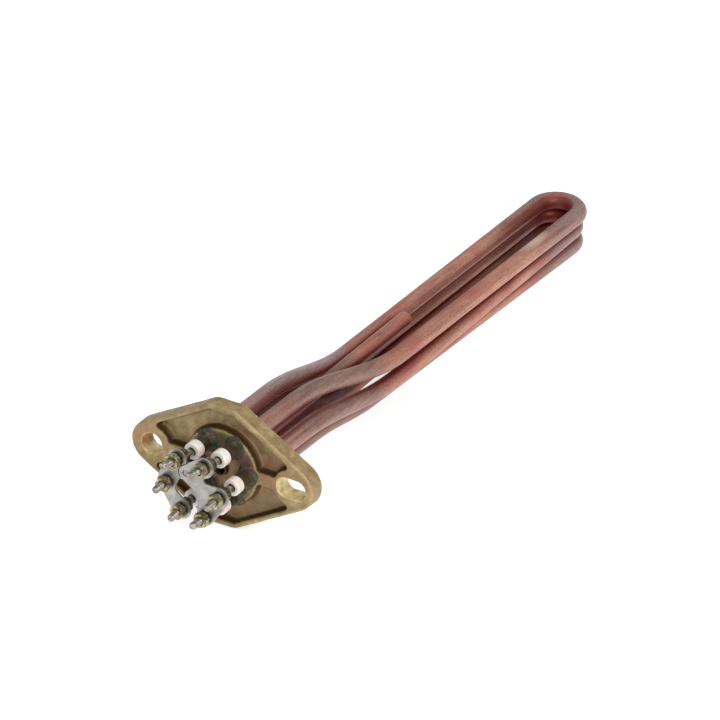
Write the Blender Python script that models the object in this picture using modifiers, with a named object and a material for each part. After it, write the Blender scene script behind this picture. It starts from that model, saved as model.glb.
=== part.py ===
"""Immersion heating element for the boiler of an espresso machine.

Three copper-sheathed hairpin tubes and a closed thermostat well are brazed into a forged brass flange
with two bolt lugs. Each of the six tube ends carries a ceramic bead, a threaded pin, two nuts and two
washers, and two link plates join the pins three by three.

Every piece is modelled in a standing frame: x runs from lug to lug, y across the flange, and z points
out of the sealing face towards the terminals, which is z = 0. The assembly empty then lays the whole
object down, so that the tubes run along world +Y and the standing frame's y is world +Z.
Lengths are in metres.
"""

import math

import bmesh
import bpy
from mathutils import Matrix, Vector

# Clearances
SEAT_GAP = 0.0003
CUT_MARGIN = 0.002
MERGE_DISTANCE = 0.00001

# Flange forging
FLANGE_THICKNESS = 0.010
FLANGE_HEIGHT = 0.065
FLANGE_TOP_LENGTH = 0.0117
FLANGE_CORNER_RADIUS = 0.006
LUG_SPACING = 0.0795
LUG_RADIUS = 0.012
RIM_ROUNDING = 0.0011
EDGE_ROUNDING = 0.0006
RIM_WIDTH = 0.0028
POCKET_DEPTH = 0.0048
POCKET_CORNER_RADIUS = 0.0018
POCKET_FLOOR_RADIUS = 0.0012
DISC_RADIUS = 0.0203
BOSS_RADIUS = 0.0102
BRIDGE_WIDTH = 0.007
BOLT_HOLE_DIAMETER = 0.0115
SLOT_LENGTH = 0.0165
SLOT_WIDTH = 0.0108

# Heating tubes
TUBE_DIAMETER = 0.0085
TUBE_SPACING_GAP = 0.0004
TUBE_CIRCLE_RADIUS = 0.015
TUBE_STANDOUT = 0.0089
TOP_LEFT_BEND_START = 0.047
TOP_RIGHT_BEND_START = 0.050
MIDDLE_BEND_START = 0.050
BOTTOM_BEND_START = 0.058
OFFSET_BEND_END = 0.108
U_BEND_RADIUS = 0.0111
TOP_LEVEL = -0.001
TOP_LEFT_LEG_X = -0.0092
TOP_RIGHT_LEG_X = 0.0130
MIDDLE_LEG_X = 0.0132
MIDDLE_LEG_Y = -0.0135
BOTTOM_LEG_SLACK = 0.0007
BOTTOM_LEFT_LEG_ANGLE = math.radians(-66)
BOTTOM_RIGHT_LEG_ANGLE = math.radians(-133)
TOP_U_CENTRE = (0.0019, 0.2843)
MIDDLE_U_CENTRE = (-0.0006, 0.2850)
BOTTOM_U_CENTRE = (-0.0013, 0.2860)

# Thermostat well
WELL_DIAMETER = 0.0075
WELL_WALL = 0.0007
WELL_DEPTH = 0.155
WELL_LIP = 0.0018
WELL_TILT = math.radians(1.0)

# Ceramic beads
BEAD_DIAMETER = 0.0088
BEAD_LENGTH = 0.0053
BEAD_BORE = 0.0044
BEAD_ROUNDING = 0.0007

# Terminal pins
PIN_SHANK_DIAMETER = 0.0035
PIN_THREAD_DIAMETER = 0.0039
PIN_SOCKET_DEPTH = 0.010
PIN_ABOVE_NUT = 0.0067
PIN_TIP_LENGTH = 0.0012
THREAD_BELOW_NUT = 0.0012

# Nuts and washers
BEAD_TO_NUT = 0.0051
NUT_ACROSS_FLATS = 0.007
NUT_HEIGHT = 0.0032
NUT_CHAMFER = 0.0004
NUT_CHAMFER_LIFT = 0.0001
NUT_TURN_PER_TERMINAL = math.radians(37)
NUT_TURN_PER_LEVEL = math.radians(83)
FLAT_WASHER_DIAMETER = 0.0088
FLAT_WASHER_THICKNESS = 0.0008
SPRING_WASHER_DIAMETER = 0.0072
SPRING_WASHER_THICKNESS = 0.0009
SPRING_WASHER_SPLIT = 0.0007

# Link plates
LINK_THICKNESS = 0.001
LINK_END_RADIUS = 0.0053
LINK_CLEARANCE = 0.0005
LEFT_LINK_INNER_BEND = (0.0078, -0.0022)
LEFT_LINK_INNER_RADIUS = 0.0030
EAR_FROM_PIN = (0.0051, -0.0062)
EAR_RADIUS = 0.0040
EAR_HOLE_DIAMETER = 0.0040
RIGHT_LINK_INNER_BEND = (-0.0130, -0.0020)
RIGHT_LINK_INNER_RADIUS = 0.0010
RIGHT_LINK_FOOT_RADIUS = 0.0046
NECK_RADIUS = 0.0015
NECK_LENGTH = 0.0003
NECK_ANGLE = math.radians(-80)

# Facets
TUBE_SIDES = 14
OFFSET_BEND_STEPS = 8
U_BEND_STEPS = 14
WELL_SIDES = 20
WELL_TIP_STEPS = 5
BEAD_SIDES = 18
PIN_SIDES = 16
PIN_TIP_STEPS = 3
WASHER_SIDES = 18
NUT_BORE_SIDES = 16
HOLE_SIDES = 20
BOLT_HOLE_SIDES = 28
LINK_END_SIDES = 24
RIM_ROUNDING_STEPS = 2
OUTLINE_SIDES = 30
SHARP_ANGLE = math.radians(35)
FLAT_ANGLE = math.radians(0.5)
BEVEL_ANGLE = math.radians(40)

# Heights above the sealing face, from the flange outwards
TUBE_END = FLANGE_THICKNESS + TUBE_STANDOUT
BEAD_BOTTOM = TUBE_END + SEAT_GAP
BEAD_TOP = BEAD_BOTTOM + BEAD_LENGTH
INNER_NUT_BOTTOM = BEAD_TOP + BEAD_TO_NUT
FLAT_WASHER_BOTTOM = INNER_NUT_BOTTOM + NUT_HEIGHT + SEAT_GAP
LINK_BOTTOM = FLAT_WASHER_BOTTOM + FLAT_WASHER_THICKNESS + SEAT_GAP
SPRING_WASHER_BOTTOM = LINK_BOTTOM + LINK_THICKNESS + SEAT_GAP
OUTER_NUT_BOTTOM = SPRING_WASHER_BOTTOM + SPRING_WASHER_THICKNESS + SEAT_GAP
PIN_TIP = OUTER_NUT_BOTTOM + NUT_HEIGHT + PIN_ABOVE_NUT

# Each terminal's pin is bent a little above its bead: this is its shift at the link plate, by number
PIN_SHIFT_AT_LINK = {
    1: (0.0000, -0.0003),
    2: (-0.0011, 0.0006),
    3: (-0.0013, 0.0008),
    4: (0.0003, 0.0000),
    5: (0.0009, 0.0001),
    6: (-0.0003, -0.0001),
}

# Colours are linear, as a Principled BSDF takes them
COPPER = ("pickled_copper", (0.36, 0.16, 0.10), 0.55, 0.8)
BRASS = ("forged_brass", (0.38, 0.29, 0.14), 0.5, 0.8)
CERAMIC = ("white_ceramic", (0.80, 0.76, 0.72), 0.6, 0.0)
STEEL = ("plated_steel", (0.55, 0.54, 0.53), 0.35, 0.9)
DARK_STEEL = ("dark_steel", (0.10, 0.09, 0.08), 0.5, 0.8)
NUT_BRASS = ("nut_brass", (0.45, 0.36, 0.18), 0.4, 0.9)

made_materials = {}


def clear_scene():
    for old in list(bpy.data.objects):
        bpy.data.objects.remove(old)


def new_collection(name):
    collection = bpy.data.collections.new(name)
    bpy.context.scene.collection.children.link(collection)
    return collection


def material(look):
    """The material of a look, made once: name, colour, roughness and metallic value."""
    name, colour, roughness, metallic = look
    if name not in made_materials:
        made = bpy.data.materials.new(name)
        made.use_nodes = True
        shader = made.node_tree.nodes["Principled BSDF"]
        shader.inputs["Base Color"].default_value = (*colour, 1.0)
        shader.inputs["Roughness"].default_value = roughness
        shader.inputs["Metallic"].default_value = metallic
        made_materials[name] = made
    return made_materials[name]


def add_object(name, data, collection, place=(0, 0, 0)):
    """Link new data as an object in the standing frame."""
    made = bpy.data.objects.new(name, data)
    collection.objects.link(made)
    made.parent = assembly
    made.location = place
    return made


def add_part(name, data, look, place=(0, 0, 0)):
    made = add_object(name, data, parts, place)
    if not data.materials:
        data.materials.append(material(look))
    return made


def add_cutter(name, data, place=(0, 0, 0)):
    made = add_object(name, data, cutters, place)
    made.hide_render = True
    made.display_type = "WIRE"
    return made


def smooth(mesh):
    mesh.shade_smooth()
    mesh.set_sharp_from_angle(angle=SHARP_ANGLE)


def mesh_from_bmesh(name, form):
    mesh = bpy.data.meshes.new(name)
    form.to_mesh(mesh)
    form.free()
    return mesh


def baked(source):
    """The evaluated mesh of an object in its own frame, welded; the object itself is removed."""
    bpy.context.view_layer.update()
    evaluated = source.evaluated_get(bpy.context.evaluated_depsgraph_get())
    mesh = bpy.data.meshes.new_from_object(evaluated)
    mesh.name = source.name
    form = bmesh.new()
    form.from_mesh(mesh)
    bmesh.ops.remove_doubles(form, verts=form.verts, dist=MERGE_DISTANCE)
    bmesh.ops.delete(form, geom=[edge for edge in form.edges if edge.is_wire], context="EDGES")
    form.to_mesh(mesh)
    form.free()
    bpy.data.objects.remove(source)
    return mesh


def spin(piece, steps):
    """Turn a profile about the piece's own z axis."""
    screw = piece.modifiers.new("turned", "SCREW")
    screw.axis = "Z"
    screw.angle = math.tau
    screw.steps = steps
    screw.render_steps = steps
    screw.use_merge_vertices = True
    screw.merge_threshold = MERGE_DISTANCE


def profile_mesh(name, points, closed):
    """A turned profile of (radius, height) points, which runs down its outer side."""
    count = len(points)
    edges = [(i, (i + 1) % count) for i in range(count if closed else count - 1)]
    mesh = bpy.data.meshes.new(name)
    mesh.from_pydata([(radius, 0, height) for radius, height in points], edges, [])
    return mesh


def turned_mesh(name, points, steps, closed=False):
    piece = add_object(name, profile_mesh(name, points, closed), cutters)
    spin(piece, steps)
    mesh = baked(piece)
    smooth(mesh)
    return mesh


def cylinder_mesh(name, radius, bottom, top, segments):
    form = bmesh.new()
    middle = Matrix.Translation((0, 0, (bottom + top) / 2))
    bmesh.ops.create_cone(
        form, cap_ends=True, segments=segments, radius1=radius, radius2=radius,
        depth=top - bottom, matrix=middle,
    )
    return mesh_from_bmesh(name, form)


def box_mesh(name, size):
    form = bmesh.new()
    bmesh.ops.create_cube(form, size=1, matrix=Matrix.Diagonal((*size, 1)))
    return mesh_from_bmesh(name, form)


def boolean(piece, operation, other):
    cut = piece.modifiers.new(other.name, "BOOLEAN")
    cut.operation = operation
    cut.object = other
    cut.solver = "EXACT"


def bevel(piece, width, segments):
    rounding = piece.modifiers.new("rounding", "BEVEL")
    rounding.width = width
    rounding.segments = segments
    rounding.limit_method = "ANGLE"
    rounding.angle_limit = BEVEL_ANGLE


def arc(centre, radius, start, end, steps):
    """Points of an arc in the plane, both ends included, anticlockwise if end is above start."""
    angles = [start + (end - start) * i / steps for i in range(steps + 1)]
    return [(centre[0] + radius * math.cos(a), centre[1] + radius * math.sin(a)) for a in angles]


def side_normal(here, radius, there, next_radius):
    """The angle of the outward normal of the straight stretch that touches two circles of a belt."""
    way = Vector(there) - Vector(here)
    lean = max(-1, min(1, (radius - next_radius) / way.length))
    return math.atan2(way.y, way.x) - math.acos(lean)


def belt_outline(rounds, sides):
    """An outline run anticlockwise round circles, with straight stretches that touch both neighbours.

    Each circle is a centre and a radius. A negative radius is a fillet that the outline passes inside.
    """
    followers = rounds[1:] + rounds[:1]
    normals = [side_normal(*circle, *follower) for circle, follower in zip(rounds, followers)]
    points = []
    for i, (centre, radius) in enumerate(rounds):
        turn = (normals[i] - normals[i - 1]) % math.tau
        if radius < 0:
            turn -= math.tau
        start = normals[i - 1] + (math.pi if radius < 0 else 0)
        steps = max(1, round(abs(turn) / math.tau * sides))
        points += arc(centre, abs(radius), start, start + turn, steps)
    return points


def merge_flats(mesh):
    """Join the triangles that fill a flat outline, which would hold a bevel back."""
    form = bmesh.new()
    form.from_mesh(mesh)
    bmesh.ops.dissolve_limit(form, angle_limit=FLAT_ANGLE, verts=form.verts, edges=form.edges)
    form.to_mesh(mesh)
    form.free()


def outline_mesh(name, outlines, bottom, top):
    """Flat outlines, filled and extruded from one height to another; an inner one is a hole."""
    curve = bpy.data.curves.new(name, "CURVE")
    curve.dimensions = "2D"
    curve.fill_mode = "BOTH"
    curve.extrude = (top - bottom) / 2
    for points in outlines:
        spline = curve.splines.new("POLY")
        spline.points.add(len(points) - 1)
        for point, (x, y) in zip(spline.points, points):
            point.co = (x, y, 0, 1)
        spline.use_cyclic_u = True
    mesh = baked(add_object(name, curve, cutters))
    merge_flats(mesh)
    mesh.transform(Matrix.Translation((0, 0, (bottom + top) / 2)))
    return mesh


def flange_rounds():
    """The circles at the flange's corners, anticlockwise from the right lug."""
    x = FLANGE_TOP_LENGTH / 2
    y = FLANGE_HEIGHT / 2 - FLANGE_CORNER_RADIUS
    lugs = [((side * LUG_SPACING / 2, 0), LUG_RADIUS) for side in (1, -1)]
    upper = [((side * x, y), FLANGE_CORNER_RADIUS) for side in (1, -1)]
    lower = [((side * x, -y), FLANGE_CORNER_RADIUS) for side in (-1, 1)]
    return [lugs[0], *upper, lugs[1], *lower]


def pocket_outline():
    """The upper pocket of the front face, between middle disc, bridge, lug boss and rim.

    Every inner corner is an arc that touches both of its neighbours. The right half runs from the
    disc's top round to the rim's top, and the left half mirrors it.
    """
    lug_x = LUG_SPACING / 2
    fillet = POCKET_CORNER_RADIUS
    bridge = BRIDGE_WIDTH / 2
    lug, (corner, corner_radius) = flange_rounds()[:2]
    tangent = side_normal(*lug, corner, corner_radius)
    by_disc = (math.sqrt((DISC_RADIUS + fillet) ** 2 - (bridge + fillet) ** 2), bridge + fillet)
    from_boss = math.sqrt((BOSS_RADIUS + fillet) ** 2 - (bridge + fillet) ** 2)
    by_boss = (lug_x - from_boss, bridge + fillet)
    across = LUG_RADIUS - RIM_WIDTH - fillet
    along = math.sqrt((BOSS_RADIUS + fillet) ** 2 - across ** 2)
    by_rim = (
        lug_x + across * math.cos(tangent) - along * math.sin(tangent),
        across * math.sin(tangent) + along * math.cos(tangent),
    )
    disc_end = math.atan2(by_disc[1], by_disc[0])
    boss_start = math.atan2(by_boss[1], by_boss[0] - lug_x)
    boss_end = math.atan2(by_rim[1], by_rim[0] - lug_x)
    half = arc((0, 0), DISC_RADIUS, math.pi / 2, disc_end, 10)
    half += arc(by_disc, fillet, disc_end + math.pi, 3 * math.pi / 2, 3)
    half += arc(by_boss, fillet, -math.pi / 2, boss_start - math.pi, 3)
    half += arc((lug_x, 0), BOSS_RADIUS, boss_start, boss_end, 4)[1:-1]
    half += arc(by_rim, fillet, boss_end - math.pi, tangent, 4)
    half += arc(corner, corner_radius - RIM_WIDTH, tangent, math.pi / 2, 3)
    return half + [(-x, y) for x, y in reversed(half[1:])]


def make_pocket(side):
    """A sunken pocket of the front face, with a rounded floor edge; side is 1 above, -1 below."""
    points = [(x, side * y) for x, y in pocket_outline()]
    floor = FLANGE_THICKNESS - POCKET_DEPTH
    pocket = add_cutter("pocket", outline_mesh("pocket", [points], floor, FLANGE_THICKNESS + CUT_MARGIN))
    bevel(pocket, POCKET_FLOOR_RADIUS, 1)
    return pocket


def round_outline(radius, steps):
    return arc((0, 0), radius, 0, math.tau, steps)[:-1]


def slot_outline(length, width):
    reach = (length - width) / 2
    right = arc((reach, 0), width / 2, -math.pi / 2, math.pi / 2, BOLT_HOLE_SIDES // 2)
    left = arc((-reach, 0), width / 2, math.pi / 2, 3 * math.pi / 2, BOLT_HOLE_SIDES // 2)
    return right + left


def well_matrix():
    """The well leans up a little towards its closed end; it turns about the flange's middle."""
    middle = Matrix.Translation((0, 0, FLANGE_THICKNESS / 2))
    return middle @ Matrix.Rotation(WELL_TILT, 4, "X") @ middle.inverted()


def joined_mesh(name, meshes):
    """Several separate solids in one mesh."""
    form = bmesh.new()
    for mesh in meshes:
        form.from_mesh(mesh)
    return mesh_from_bmesh(name, form)


def through_mesh(name, points, place):
    """A solid of any outline that runs through the whole flange."""
    mesh = outline_mesh(name, [points], -CUT_MARGIN, FLANGE_THICKNESS + CUT_MARGIN)
    mesh.transform(Matrix.Translation((*place, 0)))
    return mesh


def flange_holes():
    """A round bolt hole, a bolt slot, a hole for each tube end and one for the well."""
    lug_x = LUG_SPACING / 2
    holes = [
        through_mesh("bolt_hole", round_outline(BOLT_HOLE_DIAMETER / 2, BOLT_HOLE_SIDES), (-lug_x, 0)),
        through_mesh("bolt_slot", slot_outline(SLOT_LENGTH, SLOT_WIDTH), (lug_x, 0)),
    ]
    tube_hole = round_outline(TUBE_DIAMETER / 2 + SEAT_GAP, HOLE_SIDES)
    holes += [through_mesh("tube_hole", tube_hole, terminal_place(n)) for n in PIN_SHIFT_AT_LINK]
    well_outline = round_outline(WELL_DIAMETER / 2 + SEAT_GAP, HOLE_SIDES)
    well_hole = through_mesh("well_hole", well_outline, (0, 0))
    well_hole.transform(well_matrix())
    return add_cutter("flange_holes", joined_mesh("flange_holes", holes + [well_hole]))


def make_flange():
    outline = outline_mesh("flange", [belt_outline(flange_rounds(), OUTLINE_SIDES)], 0, FLANGE_THICKNESS)
    flange = add_part("flange", outline, BRASS)
    bevel(flange, RIM_ROUNDING, RIM_ROUNDING_STEPS)
    boolean(flange, "DIFFERENCE", make_pocket(1))
    boolean(flange, "DIFFERENCE", make_pocket(-1))
    bevel(flange, EDGE_ROUNDING, 2)
    boolean(flange, "DIFFERENCE", flange_holes())


def terminal_place(number):
    """Terminals sit on a circle, 60 degrees apart, numbered anticlockwise from the right one."""
    angle = math.radians(60) * (number - 1)
    return TUBE_CIRCLE_RADIUS * math.cos(angle), TUBE_CIRCLE_RADIUS * math.sin(angle)


def pin_slope(number):
    rise = LINK_BOTTOM + LINK_THICKNESS / 2 - BEAD_TOP
    return Vector(PIN_SHIFT_AT_LINK[number]) / rise


def pin_place(number, height):
    """Where the bent part of a terminal's pin passes a height above the sealing face."""
    return Vector(terminal_place(number)) + pin_slope(number) * (height - BEAD_TOP)


def leg_points(start, bend_start, low, u_spot, u_depth):
    """One leg of a hairpin, from its terminal end down to the start of its U bend."""
    points = [(*start, TUBE_END), (*start, -bend_start)]
    for i in range(1, OFFSET_BEND_STEPS + 1):
        share = i / OFFSET_BEND_STEPS
        eased = (1 - math.cos(math.pi * share)) / 2
        spot = Vector(start).lerp(Vector(low), eased)
        points.append((*spot, -bend_start - (OFFSET_BEND_END - bend_start) * share))
    return points + [(*u_spot, -u_depth)]


def hairpin_points(left, right, level, centre):
    """A hairpin's whole route: down one leg, round the U bend and up the other."""
    x, depth = centre
    left_spot = (x - U_BEND_RADIUS, level)
    right_spot = (x + U_BEND_RADIUS, level)
    turn = arc((x, depth), U_BEND_RADIUS, math.pi, 0, U_BEND_STEPS)[1:-1]
    down = leg_points(*left, left_spot, depth)
    up = leg_points(*right, right_spot, depth)
    return down + [(px, level, -pz) for px, pz in turn] + list(reversed(up))


def tube_mesh(name, points):
    curve = bpy.data.curves.new(name, "CURVE")
    curve.dimensions = "3D"
    curve.fill_mode = "FULL"
    curve.bevel_depth = TUBE_DIAMETER / 2
    curve.bevel_resolution = TUBE_SIDES // 2 - 2
    curve.use_fill_caps = True
    spline = curve.splines.new("POLY")
    spline.points.add(len(points) - 1)
    for point, spot in zip(spline.points, points):
        point.co = (*spot, 1)
    mesh = baked(add_object(name, curve, cutters))
    smooth(mesh)
    return mesh


def make_tube(name, points, numbers):
    """A hairpin tube with a blind socket for the pin at each end."""
    tube = add_part(name, tube_mesh(name, points), COPPER)
    radius = PIN_SHANK_DIAMETER / 2 + SEAT_GAP
    bottom = TUBE_END - PIN_SOCKET_DEPTH - SEAT_GAP
    for number in numbers:
        socket = cylinder_mesh(f"socket_{number}", radius, bottom, TUBE_END + CUT_MARGIN, PIN_SIDES)
        boolean(tube, "DIFFERENCE", add_cutter(f"socket_{number}", socket, (*terminal_place(number), 0)))


def beside(spot, distance, angle):
    return spot + distance * Vector((math.cos(angle), math.sin(angle)))


def make_tubes():
    """The three hairpins lie one over the other; the lower two nest against each other."""
    pitch = TUBE_DIAMETER + TUBE_SPACING_GAP
    middle_left = Vector((-MIDDLE_LEG_X, MIDDLE_LEG_Y))
    middle_right = Vector((MIDDLE_LEG_X, MIDDLE_LEG_Y))
    bottom_left = beside(middle_left, pitch + BOTTOM_LEG_SLACK, BOTTOM_LEFT_LEG_ANGLE)
    bottom_right = beside(middle_right, pitch + BOTTOM_LEG_SLACK, BOTTOM_RIGHT_LEG_ANGLE)
    top = hairpin_points(
        (terminal_place(3), TOP_LEFT_BEND_START, (TOP_LEFT_LEG_X, TOP_LEVEL)),
        (terminal_place(2), TOP_RIGHT_BEND_START, (TOP_RIGHT_LEG_X, TOP_LEVEL)),
        TOP_LEVEL, TOP_U_CENTRE,
    )
    middle = hairpin_points(
        (terminal_place(4), MIDDLE_BEND_START, middle_left),
        (terminal_place(1), MIDDLE_BEND_START, middle_right),
        TOP_LEVEL - pitch, MIDDLE_U_CENTRE,
    )
    bottom = hairpin_points(
        (terminal_place(5), BOTTOM_BEND_START, bottom_left),
        (terminal_place(6), BOTTOM_BEND_START, bottom_right),
        TOP_LEVEL - 2 * pitch, BOTTOM_U_CENTRE,
    )
    make_tube("heating_tube_top", top, (3, 2))
    make_tube("heating_tube_middle", middle, (4, 1))
    make_tube("heating_tube_bottom", bottom, (5, 6))


def make_well():
    """A thin pocket, open at the flange and closed by a round tip."""
    outer = WELL_DIAMETER / 2
    inner = outer - WELL_WALL
    top = FLANGE_THICKNESS + WELL_LIP
    centre = (0, outer - WELL_DEPTH)
    outer_tip = arc(centre, outer, 0, -math.pi / 2, WELL_TIP_STEPS)
    inner_tip = arc(centre, inner, -math.pi / 2, 0, WELL_TIP_STEPS)
    points = [(outer, top)] + outer_tip + inner_tip + [(inner, top), (outer, top)]
    points = [(max(radius, 0), height) for radius, height in points]
    mesh = turned_mesh("thermostat_well", points, WELL_SIDES)
    mesh.transform(well_matrix())
    add_part("thermostat_well", mesh, COPPER)


def rounded_ring(outer, inner, bottom, top, rounding, steps):
    """A closed ring profile with rounded outer corners, running down its outer side."""
    points = arc((outer - rounding, top - rounding), rounding, math.pi / 2, 0, steps)
    points += arc((outer - rounding, bottom + rounding), rounding, 0, -math.pi / 2, steps)
    return points + [(inner, bottom), (inner, top)]


def make_beads():
    ring = rounded_ring(BEAD_DIAMETER / 2, BEAD_BORE / 2, BEAD_BOTTOM, BEAD_TOP, BEAD_ROUNDING, 1)
    mesh = turned_mesh("ceramic_bead", ring, BEAD_SIDES, closed=True)
    for number in PIN_SHIFT_AT_LINK:
        add_part(f"ceramic_bead_{number}", mesh, CERAMIC, (*terminal_place(number), 0))


def make_pins():
    """Each pin is turned straight, then the part above its bead leans over a little."""
    shank = PIN_SHANK_DIAMETER / 2
    thread = PIN_THREAD_DIAMETER / 2
    thread_start = INNER_NUT_BOTTOM - THREAD_BELOW_NUT
    tip_angles = [math.pi / 2 * i / PIN_TIP_STEPS for i in range(PIN_TIP_STEPS + 1)]
    points = [(thread * math.sin(a), PIN_TIP - PIN_TIP_LENGTH * (1 - math.cos(a))) for a in tip_angles]
    points += [(thread, thread_start), (shank, thread_start), (shank, BEAD_TOP)]
    points += [(shank, TUBE_END - PIN_SOCKET_DEPTH), (0, TUBE_END - PIN_SOCKET_DEPTH)]
    for number in PIN_SHIFT_AT_LINK:
        name = f"terminal_pin_{number}"
        mesh = turned_mesh(name, points, PIN_SIDES)
        slope = pin_slope(number)
        for vertex in mesh.vertices:
            lift = max(vertex.co.z - BEAD_TOP, 0)
            vertex.co.x += slope.x * lift
            vertex.co.y += slope.y * lift
        add_part(name, mesh, STEEL, (*terminal_place(number), 0))


def nut_mesh():
    """A hexagon with both faces chamfered at the corners, and a plain bore in place of its thread."""
    corner = NUT_ACROSS_FLATS / math.sqrt(3)
    nut = add_object("nut", cylinder_mesh("nut", corner, 0, NUT_HEIGHT, 6), cutters)
    chamfer = add_object("chamfer", turned_mesh("chamfer", [
        (0, NUT_HEIGHT + CUT_MARGIN),
        (corner - NUT_CHAMFER - CUT_MARGIN, NUT_HEIGHT + CUT_MARGIN),
        (corner + NUT_CHAMFER, NUT_HEIGHT - 2 * NUT_CHAMFER + NUT_CHAMFER_LIFT),
        (corner + NUT_CHAMFER, 2 * NUT_CHAMFER - NUT_CHAMFER_LIFT),
        (corner - NUT_CHAMFER - CUT_MARGIN, -CUT_MARGIN),
        (0, -CUT_MARGIN),
    ], HOLE_SIDES), cutters)
    radius = PIN_THREAD_DIAMETER / 2 + SEAT_GAP
    bore = cylinder_mesh("nut_bore", radius, -CUT_MARGIN, NUT_HEIGHT + CUT_MARGIN, NUT_BORE_SIDES)
    bore = add_object("nut_bore", bore, cutters)
    boolean(nut, "INTERSECT", chamfer)
    boolean(nut, "DIFFERENCE", bore)
    mesh = baked(nut)
    bpy.data.objects.remove(chamfer)
    bpy.data.objects.remove(bore)
    smooth(mesh)
    return mesh


def flat_washer_mesh():
    inner = PIN_THREAD_DIAMETER / 2 + SEAT_GAP
    outer = FLAT_WASHER_DIAMETER / 2
    ring = [(outer, FLAT_WASHER_THICKNESS), (outer, 0), (inner, 0), (inner, FLAT_WASHER_THICKNESS)]
    return turned_mesh("flat_washer", ring, WASHER_SIDES, closed=True)


def spring_washer_mesh():
    """A ring that is split across one side."""
    inner = PIN_THREAD_DIAMETER / 2 + SEAT_GAP
    outer = SPRING_WASHER_DIAMETER / 2
    height = SPRING_WASHER_THICKNESS
    profile = [(outer, height), (outer, 0), (inner, 0), (inner, height)]
    ring_mesh = turned_mesh("spring_washer", profile, WASHER_SIDES, closed=True)
    ring = add_object("spring_washer", ring_mesh, cutters)
    gap_mesh = box_mesh("split", (outer + CUT_MARGIN, SPRING_WASHER_SPLIT, height + CUT_MARGIN))
    gap = add_object("split", gap_mesh, cutters, ((outer + CUT_MARGIN) / 2, 0, height / 2))
    boolean(ring, "DIFFERENCE", gap)
    mesh = baked(ring)
    bpy.data.objects.remove(gap)
    smooth(mesh)
    return mesh


def make_fasteners():
    """One inner nut, flat washer, spring washer and outer nut on every pin, each turned its own way."""
    nut = nut_mesh()
    flat_washer = flat_washer_mesh()
    spring_washer = spring_washer_mesh()
    nut.materials.append(material(NUT_BRASS))
    stack = (
        ("inner_nut", nut, NUT_BRASS, INNER_NUT_BOTTOM, NUT_HEIGHT),
        ("flat_washer", flat_washer, DARK_STEEL, FLAT_WASHER_BOTTOM, FLAT_WASHER_THICKNESS),
        ("spring_washer", spring_washer, DARK_STEEL, SPRING_WASHER_BOTTOM, SPRING_WASHER_THICKNESS),
        ("outer_nut", nut, NUT_BRASS, OUTER_NUT_BOTTOM, NUT_HEIGHT),
    )
    for number in PIN_SHIFT_AT_LINK:
        for level, (kind, mesh, look, bottom, height) in enumerate(stack):
            x, y = pin_place(number, bottom + height / 2)
            piece = add_part(f"{kind}_{number}", mesh, look, (x, y, bottom))
            piece.rotation_euler.z = NUT_TURN_PER_TERMINAL * number + NUT_TURN_PER_LEVEL * level


def link_pin(number):
    return pin_place(number, LINK_BOTTOM + LINK_THICKNESS / 2)


def make_link(name, rounds, numbers, spare_holes):
    """A link plate: an outline round its pins, with a hole for each pin, and spare holes."""
    holes = [(link_pin(number), PIN_THREAD_DIAMETER / 2 + SEAT_GAP) for number in numbers]
    outlines = [belt_outline(rounds, LINK_END_SIDES)]
    outlines += [arc(place, radius, 0, math.tau, HOLE_SIDES)[:-1] for place, radius in holes + spare_holes]
    return add_part(name, outline_mesh(name, outlines, LINK_BOTTOM, LINK_BOTTOM + LINK_THICKNESS), STEEL)


def make_links():
    """The left plate is a bent strip; the right one is wider, with an ear that has a spare hole.

    The left plate is relieved along the side of the right one, from its ear to its upper pin.
    """
    end = {number: (link_pin(number), LINK_END_RADIUS) for number in PIN_SHIFT_AT_LINK}
    left_bend = (link_pin(4) + Vector(LEFT_LINK_INNER_BEND), -LEFT_LINK_INNER_RADIUS)
    left = make_link("link_plate_left", [end[3], end[4], end[5], left_bend], (3, 4, 5), [])

    ear = link_pin(3) + Vector(EAR_FROM_PIN)
    right_bend = (link_pin(1) + Vector(RIGHT_LINK_INNER_BEND), -RIGHT_LINK_INNER_RADIUS)
    foot = (link_pin(6), RIGHT_LINK_FOOT_RADIUS)
    neck = (beside(link_pin(2), LINK_END_RADIUS + NECK_RADIUS + NECK_LENGTH, NECK_ANGLE), -NECK_RADIUS)
    right_rounds = [(ear, EAR_RADIUS), right_bend, foot, end[1], neck, end[2]]
    make_link("link_plate_right", right_rounds, (2, 1, 6), [(ear, EAR_HOLE_DIAMETER / 2)])

    beside_ear = [(ear, EAR_RADIUS + LINK_CLEARANCE), (link_pin(2), LINK_END_RADIUS + LINK_CLEARANCE)]
    relief = outline_mesh("relief", [belt_outline(beside_ear, LINK_END_SIDES)], LINK_BOTTOM - CUT_MARGIN,
                          LINK_BOTTOM + LINK_THICKNESS + CUT_MARGIN)
    boolean(left, "DIFFERENCE", add_cutter("relief", relief))


clear_scene()
parts = new_collection("heating_element")
cutters = new_collection("cutters")
assembly = bpy.data.objects.new("assembly", None)
parts.objects.link(assembly)
assembly.rotation_euler.x = math.pi / 2

make_flange()
make_tubes()
make_well()
make_beads()
make_pins()
make_fasteners()
make_links()
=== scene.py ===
import math

import bmesh
import bpy
from mathutils import Matrix, Vector, noise


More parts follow.
